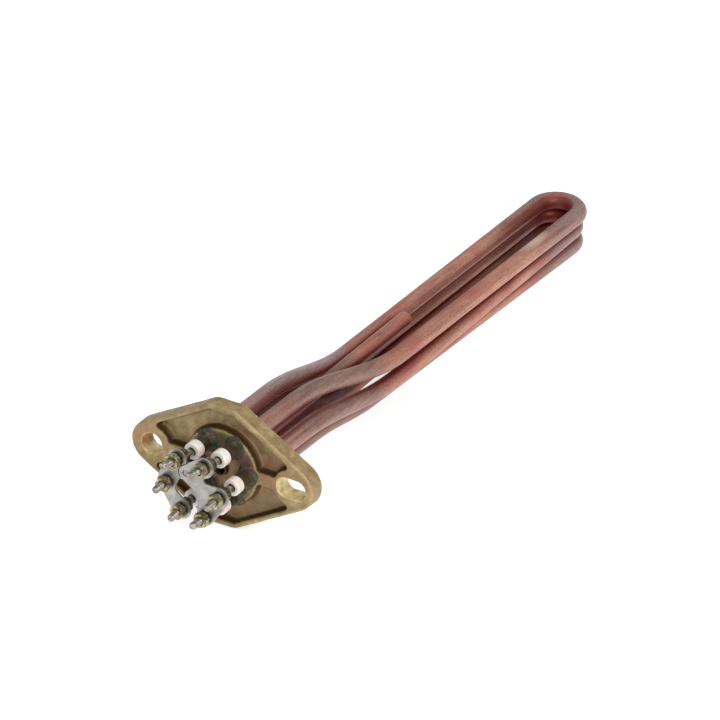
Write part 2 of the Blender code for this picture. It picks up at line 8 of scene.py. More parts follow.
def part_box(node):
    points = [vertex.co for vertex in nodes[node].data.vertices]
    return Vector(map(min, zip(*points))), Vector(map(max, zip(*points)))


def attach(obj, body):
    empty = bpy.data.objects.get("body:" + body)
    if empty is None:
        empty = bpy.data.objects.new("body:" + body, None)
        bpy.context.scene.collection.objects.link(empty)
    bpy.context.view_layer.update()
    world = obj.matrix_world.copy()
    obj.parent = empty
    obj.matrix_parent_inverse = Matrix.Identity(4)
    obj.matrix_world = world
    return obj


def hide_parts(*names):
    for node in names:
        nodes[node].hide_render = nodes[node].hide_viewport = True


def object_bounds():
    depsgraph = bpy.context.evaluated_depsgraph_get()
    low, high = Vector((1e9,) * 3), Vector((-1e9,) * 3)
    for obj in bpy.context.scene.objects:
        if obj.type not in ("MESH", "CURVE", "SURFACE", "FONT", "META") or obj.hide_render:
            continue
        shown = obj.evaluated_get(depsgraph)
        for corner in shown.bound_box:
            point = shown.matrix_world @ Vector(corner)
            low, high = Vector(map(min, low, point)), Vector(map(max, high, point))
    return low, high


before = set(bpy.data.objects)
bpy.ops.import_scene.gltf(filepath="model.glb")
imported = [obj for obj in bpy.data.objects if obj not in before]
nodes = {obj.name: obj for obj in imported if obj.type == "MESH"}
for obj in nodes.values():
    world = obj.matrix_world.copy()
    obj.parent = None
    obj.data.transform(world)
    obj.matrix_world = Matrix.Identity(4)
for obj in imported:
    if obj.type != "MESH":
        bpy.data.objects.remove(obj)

cad_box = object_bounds()
TERMINALS = range(1, 7)
SHARP = math.radians(40)

# Heights are metres above the flange's sealing face, out towards the terminals, which is world -Y
FLANGE_FRONT = -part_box("flange")[0].y

# Flange outline, as the frame's solid has it: straight sides between the lugs and the short flats
LUG_X = 0.03975
SIDE_SLOPE = math.radians(60)
SIDE_REACH = 0.031875
TOP_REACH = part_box("flange")[1].z
TUBE_CIRCLE = 0.015

# Where the flange's finish and the painted shade on its pocket walls change. Each pair is where a change
# begins and where it is complete
POCKET_INSET = (-0.0012, -0.0020)
POCKET_TIP = (0.0385, 0.0375)
BOSS_EDGE = (0.0088, 0.0095)
DISC_EDGE = (0.0186, 0.0196)
STAIN_EDGE = (0.0200, 0.0192)
FLUX_REACH = (0.0200, 0.0125)
BORE_BROWN_SIDE = (-0.0432, -0.0455)
LOW_POCKET = (0.002, -0.014)
BORE_REACH = 0.0090
FLUX_UNEVEN = 0.022

# The forging's skin: the size of its melted facets, and its waves
SKIN_VOXEL = 0.0005
SKIN_WAVE = 0.007
SKIN_HEIGHT = 0.0004

# Heating tubes. Their bends are fitted to the photograph, and are gentler than the frame's solids'
TUBE_RADIUS = 0.00425
TUBE_SPACING_GAP = 0.0004
TUBE_SIDES = 40
BEND_STEPS = 28
TURN_RADIUS = 0.0111
BOTTOM_SLACK = 0.0003
TURN_STEPS = 40
STRAIGHT_STEPS = 40
TOP_LEVEL = -0.001
END_STEP = 0.004

# Each hairpin, from the top down: the terminals at its two ends, the depths between which its left
# and right legs bend, and the centre of its U bend as (x, depth)
HAIRPINS = {
    "top": ((3, 2), ((0.040, 0.115), (0.040, 0.130)), (0.0019, 0.2843)),
    "middle": ((4, 1), ((0.046, 0.112), (0.038, 0.124)), (-0.0006, 0.2850)),
    "bottom": ((5, 6), ((0.064, 0.114), (0.058, 0.112)), (-0.0013, 0.2860)),
}

# Where the left and right legs of the top and middle hairpins end their bends, as (x, z), and in what
# directions from the middle ones, in degrees, the bottom ones lie
TOP_LOW = ((-0.0092, TOP_LEVEL), (0.0130, TOP_LEVEL))
MIDDLE_LOW = (Vector((-0.0132, -0.0135)), Vector((0.0132, -0.0122)))
BOTTOM_WAY = (-66, -133)

# Where the tubes' finish, their painted shade and their painted highlight change. Each pair is where a change
# begins and where it is complete
HEAT_SPAN = (-0.02, 0.28)
LEFT_TUBES = (-0.003, -0.008)
MAUVE_START = (0.004, 0.05)
MAUVE_END = (0.125, 0.105)
BEHIND_FLANGE = (-0.008, -0.002)
FLUSH_START = (0.06, 0.10)
# LOOP_START, LOOP_CENTRE and LOOP_SIDE place the painted shade on the U bends' inner sides
LOOP_START = (0.235, 0.270)
LOOP_CENTRE = (0.0010, 0.2850)
LOOP_SIDE = (TURN_RADIUS - 0.35 * TUBE_RADIUS, TURN_RADIUS - 0.75 * TUBE_RADIUS)
# Centre and reach of the painted highlight on the upper right tube's crest
HIGHLIGHT_SPOT = (0.0122, 0.2480, 0.0032)
HIGHLIGHT_REACH = (0.0040, 0.0012)

# Thermostat well
WELL_RADIUS = 0.00375
WELL_WALL = 0.0007
WELL_DEPTH = 0.155
WELL_LIP = 0.0018
WELL_TILT = math.radians(1.0)

# Terminals
THREAD_PITCH = 0.0007
THREAD_DEPTH = 0.00038
THREAD_STEPS = 6
THREAD_LEAD = 0.0012
THREAD_RUNOUT = 0.0003
PIN_RADIUS = 0.00195
SHANK_RADIUS = 0.00175
PIN_TIP = 0.0014
PIN_STEP = 0.0005
PIN_SIDES = 24
BEAD_EDGE = 0.0008

# Braze fillets and flux crusts: how far each spreads, and how high it climbs
BRAZE_SIZE = (0.0016, 0.0020)
FLUX_SIZE = (0.0018, 0.0036)
FLUX_SEED = 20
CRUST_OVERLAP = 0.0001
CRUST_SIDES = 72

# Worn edges of the frame's own pieces
NUT_EDGE = 0.00012
WASHER_EDGE = 0.0001
LINK_EDGE = 0.00015

# Turned shapes: their sides, and the smallest radius at an axis
TURNED_SIDES = 48
NEAR_AXIS = 0.00001

# The photograph's view, which is nearly parallel
AIM = Vector((0.0, 0.1123, -0.0008))
AZIMUTH = math.radians(32.9)
ELEVATION = math.radians(30.3)
CAMERA_DISTANCE = 14.0
CLIP_END = 50
VIEW_WIDTH = 0.3468
SENSOR = 36.0

# The light tent
TENT_STRENGTH = 0.52
FLOOR_GLOW = 0.55
FLOOR_HALF = 6
FLOOR_DROP = 0.0005
LIT_SPOT = (0, 0.1, 0)


def linear(code):
    """A #rrggbb sRGB colour as linear RGBA."""
    channels = [int(code[i:i + 2], 16) / 255 for i in (1, 3, 5)]
    made = [c / 12.92 if c <= 0.04045 else ((c + 0.055) / 1.055) ** 2.4 for c in channels]
    return (*made, 1.0)


def per_mm(size):
    """A noise scale whose patches are about this many millimetres across."""
    return 1000 / size


def add_node(tree, kind, settings=None, links=None, stops=None):
    """Add a node: settings are its sockets or properties, links its sockets fed by outputs."""
    made = tree.nodes.new(kind)
    for name, value in (settings or {}).items():
        if isinstance(name, int) or name in made.inputs:
            made.inputs[name].default_value = value
        else:
            setattr(made, name, value)
    for name, output in (links or {}).items():
        tree.links.new(output, made.inputs[name])
    if stops:
        ramp = made.color_ramp
        while len(ramp.elements) < len(stops):
            ramp.elements.new(0.5)
        for element, (place, colour) in zip(ramp.elements, stops):
            element.position = place
            element.color = colour
    return made


def new_material(name):
    """An empty material with its Principled shader wired to the output."""
    made = bpy.data.materials.new(name)
    made.use_nodes = True
    tree = made.node_tree
    return made, tree, tree.nodes["Principled BSDF"]


def pickled_copper():
    """Copper tube, drawn, bent and pickled in acid: a matte pinkish brown with fine drawn lines.

    The brazing heat has left it tan at the flange, grey-brown up to the end of the bends and greyer
    again round the U bends. The left tubes are mauve as far as the end of their bends, and red patches
    show beyond. Painted shade darkens the U bends' inner sides, a painted highlight lies pale on one
    crest, and painted shade turns the tubes dark maroon where they lie close together, dark brown in
    front of the flange.
    """
    made, tree, shader = new_material("pickled_copper")
    place = add_node(tree, "ShaderNodeTexCoord").outputs["Object"]
    axes = add_node(tree, "ShaderNodeSeparateXYZ", links={"Vector": place})
    drawn = add_node(tree, "ShaderNodeVectorMath", {"operation": "MULTIPLY", 1: (1, 0.3, 1)}, {0: place})
    streak = add_node(tree, "ShaderNodeTexNoise", {"Scale": per_mm(7), "Detail": 4.0, "Roughness": 0.55},
                      {"Vector": drawn.outputs[0]})
    blotch = add_node(tree, "ShaderNodeTexNoise", {"Scale": per_mm(24), "Detail": 2.0}, {"Vector": place})
    grain = add_node(tree, "ShaderNodeTexNoise", {"Scale": per_mm(0.8), "Detail": 3.0}, {"Vector": place})
    ragged = add_node(tree, "ShaderNodeMath", {"operation": "MULTIPLY_ADD", 1: 0.03, 2: -0.015},
                      {0: blotch.outputs["Fac"]})
    along = add_node(tree, "ShaderNodeMath", {"operation": "ADD"},
                     {0: axes.outputs["Y"], 1: ragged.outputs[0]})
    heat = add_node(tree, "ShaderNodeMapRange", {"From Min": HEAT_SPAN[0], "From Max": HEAT_SPAN[1]},
                    {"Value": along.outputs[0]})
    zone = add_node(tree, "ShaderNodeValToRGB", links={"Fac": heat.outputs[0]}, stops=[
        (0.03, linear("#4c3e34")), (0.062, linear("#a16b59")), (0.10, linear("#9c766a")),
        (0.22, linear("#7e645c")), (0.40, linear("#82665d")), (0.44, linear("#9a6c5e")),
        (0.84, linear("#ab7c6b")), (0.93, linear("#8e6c65")), (1.0, linear("#8b7370"))])
    left = add_node(tree, "ShaderNodeMapRange",
                    {"From Min": LEFT_TUBES[0], "From Max": LEFT_TUBES[1], "To Max": 0.75},
                    {"Value": axes.outputs["X"]})
    near = add_node(tree, "ShaderNodeMapRange", {"From Min": MAUVE_END[0], "From Max": MAUVE_END[1]},
                    {"Value": along.outputs[0]})
    past_face = add_node(tree, "ShaderNodeMapRange",
                         {"From Min": MAUVE_START[0], "From Max": MAUVE_START[1]},
                         {"Value": along.outputs[0]})
    near_left = add_node(tree, "ShaderNodeMath", {"operation": "MULTIPLY"},
                         {0: left.outputs[0], 1: near.outputs[0]})
    cool = add_node(tree, "ShaderNodeMath", {"operation": "MULTIPLY"},
                    {0: near_left.outputs[0], 1: past_face.outputs[0]})
    cooled = add_node(tree, "ShaderNodeMix", {"data_type": "RGBA", 7: linear("#a4979a")},
                      {0: cool.outputs[0], 6: zone.outputs[0]})
    fade = add_node(tree, "ShaderNodeValToRGB", links={"Fac": streak.outputs["Fac"]},
                    stops=[(0.33, linear("#a8756d")), (0.5, linear("#bcbcbc")), (0.68, linear("#cfcbbb"))])
    stretched = add_node(tree, "ShaderNodeVectorMath", {"operation": "MULTIPLY", 1: (1, 0.07, 1)},
                         {0: place})
    draw_lines = add_node(tree, "ShaderNodeTexNoise", {"Scale": per_mm(1.6), "Detail": 3.0},
                          {"Vector": stretched.outputs[0]})
    speckle = add_node(tree, "ShaderNodeTexNoise", {"Scale": per_mm(1.1), "Detail": 3.0, "Roughness": 0.6},
                       {"Vector": place})
    half_speckle = add_node(tree, "ShaderNodeMath", {"operation": "MULTIPLY", 1: 0.5},
                            {0: speckle.outputs["Fac"]})
    texture = add_node(tree, "ShaderNodeMath", {"operation": "MULTIPLY_ADD", 1: 0.5},
                       {0: draw_lines.outputs["Fac"], 2: half_speckle.outputs[0]})
    lines = add_node(tree, "ShaderNodeValToRGB", links={"Fac": texture.outputs[0]},
                     stops=[(0.38, linear("#8c8684")), (0.5, linear("#bcbcbc")), (0.62, linear("#e6e2d8"))])
    varied = add_node(tree, "ShaderNodeMix", {"data_type": "RGBA", "blend_type": "OVERLAY", 0: 0.3},
                      {6: cooled.outputs[2], 7: fade.outputs[0]})
    lined = add_node(tree, "ShaderNodeMix", {"data_type": "RGBA", "blend_type": "OVERLAY", 0: 0.5},
                     {6: varied.outputs[2], 7: lines.outputs[0]})
    flush = add_node(tree, "ShaderNodeMapRange", {"From Min": 0.53, "From Max": 0.64, "To Max": 0.4},
                     {"Value": blotch.outputs["Fac"]})
    in_air = add_node(tree, "ShaderNodeMapRange",
                      {"From Min": BEHIND_FLANGE[0], "From Max": BEHIND_FLANGE[1]},
                      {"Value": axes.outputs["Y"]})
    past_heat = add_node(tree, "ShaderNodeMapRange",
                         {"From Min": FLUSH_START[0], "From Max": FLUSH_START[1], "To Min": 0.15},
                         {"Value": axes.outputs["Y"]})
    flush_past = add_node(tree, "ShaderNodeMath", {"operation": "MULTIPLY"},
                          {0: flush.outputs[0], 1: past_heat.outputs[0]})
    flushing = add_node(tree, "ShaderNodeMath", {"operation": "MULTIPLY"},
                        {0: flush_past.outputs[0], 1: in_air.outputs[0]})
    flushed = add_node(tree, "ShaderNodeMix", {"data_type": "RGBA", 7: linear("#a2504f")},
                       {0: flushing.outputs[0], 6: lined.outputs[2]})
    # Painted shade: the U bends' inner sides are mixed towards dark maroon
    turn_depth = add_node(tree, "ShaderNodeMath", {"operation": "SUBTRACT", 1: LOOP_CENTRE[1]},
                          {0: axes.outputs["Y"]})
    past_turn = add_node(tree, "ShaderNodeMath", {"operation": "MAXIMUM", 1: 0.0},
                         {0: turn_depth.outputs[0]})
    sideways = add_node(tree, "ShaderNodeMath", {"operation": "SUBTRACT", 1: LOOP_CENTRE[0]},
                        {0: axes.outputs["X"]})
    spine_offset = add_node(tree, "ShaderNodeCombineXYZ",
                            links={"X": sideways.outputs[0], "Y": past_turn.outputs[0]})
    from_spine = add_node(tree, "ShaderNodeVectorMath", {"operation": "LENGTH"},
                          {0: spine_offset.outputs[0]})
    inner = add_node(tree, "ShaderNodeMapRange",
                     {"From Min": LOOP_SIDE[0], "From Max": LOOP_SIDE[1], "To Max": 0.85},
                     {"Value": from_spine.outputs["Value"]})
    in_loop = add_node(tree, "ShaderNodeMapRange", {"From Min": LOOP_START[0], "From Max": LOOP_START[1]},
                       {"Value": along.outputs[0]})
    inside = add_node(tree, "ShaderNodeMath", {"operation": "MULTIPLY"},
                      {0: inner.outputs[0], 1: in_loop.outputs[0]})
    shaded = add_node(tree, "ShaderNodeMix", {"data_type": "RGBA", 7: linear("#763424")},
                      {0: inside.outputs[0], 6: flushed.outputs[2]})
    # Painted highlight: a pale patch on the upper right tube's crest
    from_highlight = add_node(tree, "ShaderNodeVectorMath", {"operation": "SUBTRACT", 1: HIGHLIGHT_SPOT}, {0: place})
    shortened = add_node(tree, "ShaderNodeVectorMath", {"operation": "MULTIPLY", 1: (1, 0.3, 1)},
                         {0: from_highlight.outputs[0]})
    highlight_reach = add_node(tree, "ShaderNodeVectorMath", {"operation": "LENGTH"}, {0: shortened.outputs[0]})
    highlight = add_node(tree, "ShaderNodeMapRange",
                   {"From Min": HIGHLIGHT_REACH[0], "From Max": HIGHLIGHT_REACH[1], "To Max": 0.65},
                   {"Value": highlight_reach.outputs["Value"]})
    highlighted = add_node(tree, "ShaderNodeMix", {"data_type": "RGBA", 7: linear("#d8c0aa")},
                      {0: highlight.outputs[0], 6: shaded.outputs[2]})
    # Painted shade: ambient occlusion darkens the tubes where they lie close together, to dark maroon behind
    # the flange and dark brown in front of it
    hollow = add_node(tree, "ShaderNodeAmbientOcclusion", {"samples": 8, "Distance": 0.016})
    painted_shade = add_node(tree, "ShaderNodeMapRange", {"From Min": 0.38, "From Max": 0.92},
                     {"Value": hollow.outputs["AO"]})
    deep = add_node(tree, "ShaderNodeMix", {"data_type": "RGBA", 6: linear("#2b271d"), 7: linear("#711d10")},
                    {0: in_air.outputs[0]})
    colour = add_node(tree, "ShaderNodeMix", {"data_type": "RGBA"},
                      {0: painted_shade.outputs[0], 6: deep.outputs[2], 7: highlighted.outputs[2]})
    rough = add_node(tree, "ShaderNodeMapRange", {"To Min": 0.36, "To Max": 0.52},
                     {"Value": streak.outputs["Fac"]})
    bump = add_node(tree, "ShaderNodeBump", {"Strength": 0.2, "Distance": 0.0002},
                    {"Height": grain.outputs["Fac"]})
    tree.links.new(colour.outputs[2], shader.inputs["Base Color"])
    tree.links.new(rough.outputs[0], shader.inputs["Roughness"])
    tree.links.new(bump.outputs[0], shader.inputs["Normal"])
    shader.inputs["Specular IOR Level"].default_value = 0.3
    shader.inputs["Metallic"].default_value = 0.4
    shader.inputs["Sheen Weight"].default_value = 0.25
    shader.inputs["Sheen Roughness"].default_value = 0.3
    shader.inputs["Sheen Tint"].default_value = linear("#dabcb0")
    return made


def forged_brass():
    """Hot-forged brass, pickled: a matte skin, tan and olive with pink patches where copper shows.

    Its raised edges carry a pale painted highlight, and the bolt holes' walls are clean and yellow,
    the left one browner towards its outer side. Painted shade darkens the steep walls of its pockets
    and its hollows dark brown, the lower pockets are browner than the upper ones, and flux has
    stained the disc round the tubes.
    """
    made, tree, shader = new_material("forged_brass")
    place = add_node(tree, "ShaderNodeTexCoord").outputs["Object"]
    axes = add_node(tree, "ShaderNodeSeparateXYZ", links={"Vector": place})
    surface = add_node(tree, "ShaderNodeNewGeometry")
    across = add_node(tree, "ShaderNodeMath", {"operation": "ABSOLUTE"}, {0: axes.outputs["X"]})
    up = add_node(tree, "ShaderNodeMath", {"operation": "ABSOLUTE"}, {0: axes.outputs["Z"]})
    spot = add_node(tree, "ShaderNodeCombineXYZ", links={"X": across.outputs[0], "Z": up.outputs[0]})
    from_middle = add_node(tree, "ShaderNodeVectorMath", {"operation": "LENGTH"}, {0: spot.outputs[0]})
    from_lug = add_node(tree, "ShaderNodeVectorMath", {"operation": "DISTANCE", 1: (LUG_X, 0, 0)},
                        {0: spot.outputs[0]})
    slope = add_node(tree, "ShaderNodeVectorMath",
                     {"operation": "DOT_PRODUCT", 1: (math.cos(SIDE_SLOPE), 0, math.sin(SIDE_SLOPE))},
                     {0: spot.outputs[0]})
    past_slope = add_node(tree, "ShaderNodeMath", {"operation": "SUBTRACT", 1: SIDE_REACH},
                          {0: slope.outputs["Value"]})
    past_top = add_node(tree, "ShaderNodeMath", {"operation": "SUBTRACT", 1: TOP_REACH}, {0: up.outputs[0]})
    past_rim = add_node(tree, "ShaderNodeMath", {"operation": "MAXIMUM"},
                        {0: past_slope.outputs[0], 1: past_top.outputs[0]})
    way = add_node(tree, "ShaderNodeSeparateXYZ", links={"Vector": surface.outputs["Normal"]})
    facing = add_node(tree, "ShaderNodeMath", {"operation": "ABSOLUTE"}, {0: way.outputs["Y"]})
    steep = add_node(tree, "ShaderNodeMapRange", {"From Min": 0.93, "From Max": 0.7},
                     {"Value": facing.outputs[0]})
    inside = add_node(tree, "ShaderNodeMapRange",
                      {"From Min": POCKET_INSET[0], "From Max": POCKET_INSET[1]},
                      {"Value": past_rim.outputs[0]})
    before_end = add_node(tree, "ShaderNodeMapRange",
                          {"From Min": POCKET_TIP[0], "From Max": POCKET_TIP[1]},
                          {"Value": across.outputs[0]})
    inner_wall = add_node(tree, "ShaderNodeMath", {"operation": "MULTIPLY"},
                          {0: steep.outputs[0], 1: inside.outputs[0]})
    off_boss = add_node(tree, "ShaderNodeMapRange", {"From Min": BOSS_EDGE[0], "From Max": BOSS_EDGE[1]},
                        {"Value": from_lug.outputs["Value"]})
    in_bore = add_node(tree, "ShaderNodeMath", {"operation": "LESS_THAN", 1: BORE_REACH},
                       {0: from_lug.outputs["Value"]})
    bore_wall = add_node(tree, "ShaderNodeMath", {"operation": "MULTIPLY"},
                         {0: steep.outputs[0], 1: in_bore.outputs[0]})
    off_disc = add_node(tree, "ShaderNodeMapRange", {"From Min": DISC_EDGE[0], "From Max": DISC_EDGE[1]},
                        {"Value": from_middle.outputs["Value"]})
    in_pocket = add_node(tree, "ShaderNodeMath", {"operation": "MULTIPLY"},
                         {0: off_boss.outputs[0], 1: off_disc.outputs[0]})
    faces_up = add_node(tree, "ShaderNodeMapRange", {"From Min": -0.6, "From Max": -0.2, "To Min": 0.25},
                        {"Value": way.outputs["Z"]})
    pocket_middle = add_node(tree, "ShaderNodeMath", {"operation": "MULTIPLY"},
                             {0: in_pocket.outputs[0], 1: before_end.outputs[0]})
    held = add_node(tree, "ShaderNodeMath", {"operation": "MULTIPLY"},
                    {0: pocket_middle.outputs[0], 1: faces_up.outputs[0]})
    pocket_wall = add_node(tree, "ShaderNodeMath", {"operation": "MULTIPLY"},
                           {0: inner_wall.outputs[0], 1: held.outputs[0]})
    broad = add_node(tree, "ShaderNodeTexNoise", {"Scale": per_mm(20), "Detail": 3.0}, {"Vector": place})
    mottle = add_node(tree, "ShaderNodeTexNoise", {"Scale": per_mm(4.5), "Detail": 4.0, "Roughness": 0.6},
                      {"Vector": place})
    grain = add_node(tree, "ShaderNodeTexNoise", {"Scale": per_mm(0.9), "Detail": 3.0}, {"Vector": place})
    skin = add_node(tree, "ShaderNodeValToRGB", links={"Fac": mottle.outputs["Fac"]},
                    stops=[(0.34, linear("#7f6a45")), (0.5, linear("#917c54")), (0.66, linear("#a39267"))])
    pink = add_node(tree, "ShaderNodeMapRange", {"From Min": 0.50, "From Max": 0.66, "To Max": 0.65},
                    {"Value": broad.outputs["Fac"]})
    patched = add_node(tree, "ShaderNodeMix", {"data_type": "RGBA", 7: linear("#9c7358")},
                       {0: pink.outputs[0], 6: skin.outputs[0]})
    low_side = add_node(tree, "ShaderNodeMapRange",
                        {"From Min": LOW_POCKET[0], "From Max": LOW_POCKET[1], "To Max": 0.5},
                        {"Value": axes.outputs["Z"]})
    pocket_floor = add_node(tree, "ShaderNodeMath", {"operation": "MULTIPLY"},
                            {0: in_pocket.outputs[0], 1: inside.outputs[0]})
    sunk = add_node(tree, "ShaderNodeMath", {"operation": "MULTIPLY"},
                    {0: pocket_floor.outputs[0], 1: low_side.outputs[0]})
    browned = add_node(tree, "ShaderNodeMix", {"data_type": "RGBA", 7: linear("#6a5038")},
                       {0: sunk.outputs[0], 6: patched.outputs[2]})
    bore = add_node(tree, "ShaderNodeValToRGB", links={"Fac": mottle.outputs["Fac"]},
                    stops=[(0.36, linear("#bd9f68")), (0.47, linear("#d3c492")), (0.6, linear("#e4dab2"))])
    # The left bore's wall is mixed towards orange-brown at its outer side
    burnt = add_node(tree, "ShaderNodeMapRange",
                     {"From Min": BORE_BROWN_SIDE[0], "From Max": BORE_BROWN_SIDE[1], "To Max": 0.8},
                     {"Value": axes.outputs["X"]})
    bore_toned = add_node(tree, "ShaderNodeMix", {"data_type": "RGBA", 7: linear("#a0672f")},
                      {0: burnt.outputs[0], 6: bore.outputs[0]})
    bored = add_node(tree, "ShaderNodeMix", {"data_type": "RGBA"},
                     {0: bore_wall.outputs[0], 6: browned.outputs[2], 7: bore_toned.outputs[2]})
    # Painted shade: the steep pocket walls, less where they face down, are mixed towards dark brown
    wall_shaded = add_node(tree, "ShaderNodeMix", {"data_type": "RGBA", 7: linear("#4a3112")},
                      {0: pocket_wall.outputs[0], 6: bored.outputs[2]})
    from_tubes = add_node(tree, "ShaderNodeMath", {"operation": "SUBTRACT", 1: TUBE_CIRCLE},
                          {0: from_middle.outputs["Value"]})
    tube_band = add_node(tree, "ShaderNodeMath", {"operation": "ABSOLUTE"}, {0: from_tubes.outputs[0]})
    spread = add_node(tree, "ShaderNodeMath", {"operation": "MULTIPLY_ADD", 1: FLUX_UNEVEN},
                      {0: mottle.outputs["Fac"], 2: tube_band.outputs[0]})
    on_disc = add_node(tree, "ShaderNodeMapRange",
                       {"From Min": STAIN_EDGE[0], "From Max": STAIN_EDGE[1], "To Max": 0.8},
                       {"Value": from_middle.outputs["Value"]})
    spilt = add_node(tree, "ShaderNodeMapRange", {"From Min": FLUX_REACH[0], "From Max": FLUX_REACH[1]},
                     {"Value": spread.outputs[0]})
    stain = add_node(tree, "ShaderNodeMath", {"operation": "MULTIPLY"},
                     {0: on_disc.outputs[0], 1: spilt.outputs[0]})
    flux = add_node(tree, "ShaderNodeValToRGB", links={"Fac": broad.outputs["Fac"]},
                    stops=[(0.42, linear("#5a5236")), (0.5, linear("#4a3a2e")), (0.6, linear("#5c3c3a"))])
    stained = add_node(tree, "ShaderNodeMix", {"data_type": "RGBA"},
                       {0: stain.outputs[0], 6: wall_shaded.outputs[2], 7: flux.outputs[0]})
    # Painted shade: ambient occlusion darkens the forging's hollows towards dark brown
    hollow = add_node(tree, "ShaderNodeAmbientOcclusion", {"samples": 8, "Distance": 0.005})
    scale = add_node(tree, "ShaderNodeMapRange", {"From Min": 0.25, "From Max": 0.8},
                     {"Value": hollow.outputs["AO"]})
    hollow_shaded = add_node(tree, "ShaderNodeMix", {"data_type": "RGBA", 6: linear("#5a431f")},
                     {0: scale.outputs[0], 7: stained.outputs[2]})
    # Painted highlight: the pointy edges are mixed towards pale brass
    edge = add_node(tree, "ShaderNodeMapRange", {"From Min": 0.51, "From Max": 0.56, "To Max": 0.6},
                    {"Value": surface.outputs["Pointiness"]})
    colour = add_node(tree, "ShaderNodeMix", {"data_type": "RGBA", 7: linear("#d2c492")},
                      {0: edge.outputs[0], 6: hollow_shaded.outputs[2]})
    rough = add_node(tree, "ShaderNodeMapRange", {"To Min": 0.42, "To Max": 0.62},
                     {"Value": mottle.outputs["Fac"]})
    bump = add_node(tree, "ShaderNodeBump", {"Strength": 0.35, "Distance": 0.0003},
                    {"Height": grain.outputs["Fac"]})
    tree.links.new(colour.outputs[2], shader.inputs["Base Color"])
    tree.links.new(rough.outputs[0], shader.inputs["Roughness"])
    tree.links.new(bump.outputs[0], shader.inputs["Normal"])
    shader.inputs["Metallic"].default_value = 0.45
    return made


def fired_ceramic():
    """Unglazed white steatite, pressed and fired: chalky, with faint pink and green flux stains."""
    made, tree, shader = new_material("fired_ceramic")
    place = add_node(tree, "ShaderNodeTexCoord").outputs["Object"]
    stain = add_node(tree, "ShaderNodeTexNoise", {"Scale": per_mm(5), "Detail": 2.0}, {"Vector": place})
    grain = add_node(tree, "ShaderNodeTexNoise", {"Scale": per_mm(0.4), "Detail": 3.0}, {"Vector": place})
    colour = add_node(tree, "ShaderNodeValToRGB", links={"Fac": stain.outputs["Fac"]},
                      stops=[(0.35, linear("#dcc6be")), (0.5, linear("#e2dbd4")), (0.68, linear("#c9d0c2"))])
    bump = add_node(tree, "ShaderNodeBump", {"Strength": 0.2, "Distance": 0.0002},
                    {"Height": grain.outputs["Fac"]})
    tree.links.new(colour.outputs[0], shader.inputs["Base Color"])
    tree.links.new(bump.outputs[0], shader.inputs["Normal"])
    shader.inputs["Roughness"].default_value = 0.5
    return made


def worn_metal(name, dark, middle, light, roughness, painted_shade, patch_mm):
    """A small metal part's finish: three tones in patches, and painted shade where parts meet."""
    made, tree, shader = new_material(name)
    place = add_node(tree, "ShaderNodeTexCoord").outputs["Object"]
    patch = add_node(tree, "ShaderNodeTexNoise", {"Scale": per_mm(patch_mm), "Detail": 4.0},
                     {"Vector": place})
    grain = add_node(tree, "ShaderNodeTexNoise", {"Scale": per_mm(0.3), "Detail": 2.0}, {"Vector": place})
    tone = add_node(tree, "ShaderNodeValToRGB", links={"Fac": patch.outputs["Fac"]},
                    stops=[(0.36, linear(dark)), (0.5, linear(middle)), (0.64, linear(light))])
    # Painted shade: ambient occlusion darkens it where parts meet
    hollow = add_node(tree, "ShaderNodeAmbientOcclusion", {"samples": 8, "Distance": 0.002})
    shade_amount = add_node(tree, "ShaderNodeMapRange", {"From Min": 0.2, "From Max": 0.75},
                    {"Value": hollow.outputs["AO"]})
    colour = add_node(tree, "ShaderNodeMix", {"data_type": "RGBA", 6: linear(painted_shade)},
                      {0: shade_amount.outputs[0], 7: tone.outputs[0]})
    rough = add_node(tree, "ShaderNodeMapRange", {"To Min": roughness - 0.1, "To Max": roughness + 0.1},
                     {"Value": patch.outputs["Fac"]})
    bump = add_node(tree, "ShaderNodeBump", {"Strength": 0.15, "Distance": 0.0001},
                    {"Height": grain.outputs["Fac"]})
    tree.links.new(colour.outputs[2], shader.inputs["Base Color"])
    tree.links.new(rough.outputs[0], shader.inputs["Roughness"])
    tree.links.new(bump.outputs[0], shader.inputs["Normal"])
    shader.inputs["Metallic"].default_value = 0.85
    return made


def flux_residue():
    """Borax flux burnt on while brazing: a dull crust, green-black in places and plum elsewhere."""
    made, tree, shader = new_material("flux_residue")
    place = add_node(tree, "ShaderNodeTexCoord").outputs["Object"]
    broad = add_node(tree, "ShaderNodeTexNoise", {"Scale": per_mm(9), "Detail": 2.0}, {"Vector": place})
    crumb = add_node(tree, "ShaderNodeTexNoise", {"Scale": per_mm(1.3), "Detail": 4.0}, {"Vector": place})
    colour = add_node(tree, "ShaderNodeValToRGB", links={"Fac": broad.outputs["Fac"]},
                      stops=[(0.40, linear("#262a18")), (0.52, linear("#3b3827")), (0.62, linear("#493a36"))])
    ashy = add_node(tree, "ShaderNodeMapRange", {"From Min": 0.52, "From Max": 0.7, "To Max": 0.5},
                    {"Value": crumb.outputs["Fac"]})
    dusted = add_node(tree, "ShaderNodeMix", {"data_type": "RGBA", 7: linear("#77735c")},
                      {0: ashy.outputs[0], 6: colour.outputs[0]})
    bump = add_node(tree, "ShaderNodeBump", {"Strength": 0.5, "Distance": 0.0003},
                    {"Height": crumb.outputs["Fac"]})
    tree.links.new(dusted.outputs[2], shader.inputs["Base Color"])
    tree.links.new(bump.outputs[0], shader.inputs["Normal"])
    shader.inputs["Roughness"].default_value = 0.8
    return made


COPPER = pickled_copper()
BRASS = forged_brass()
CERAMIC = fired_ceramic()
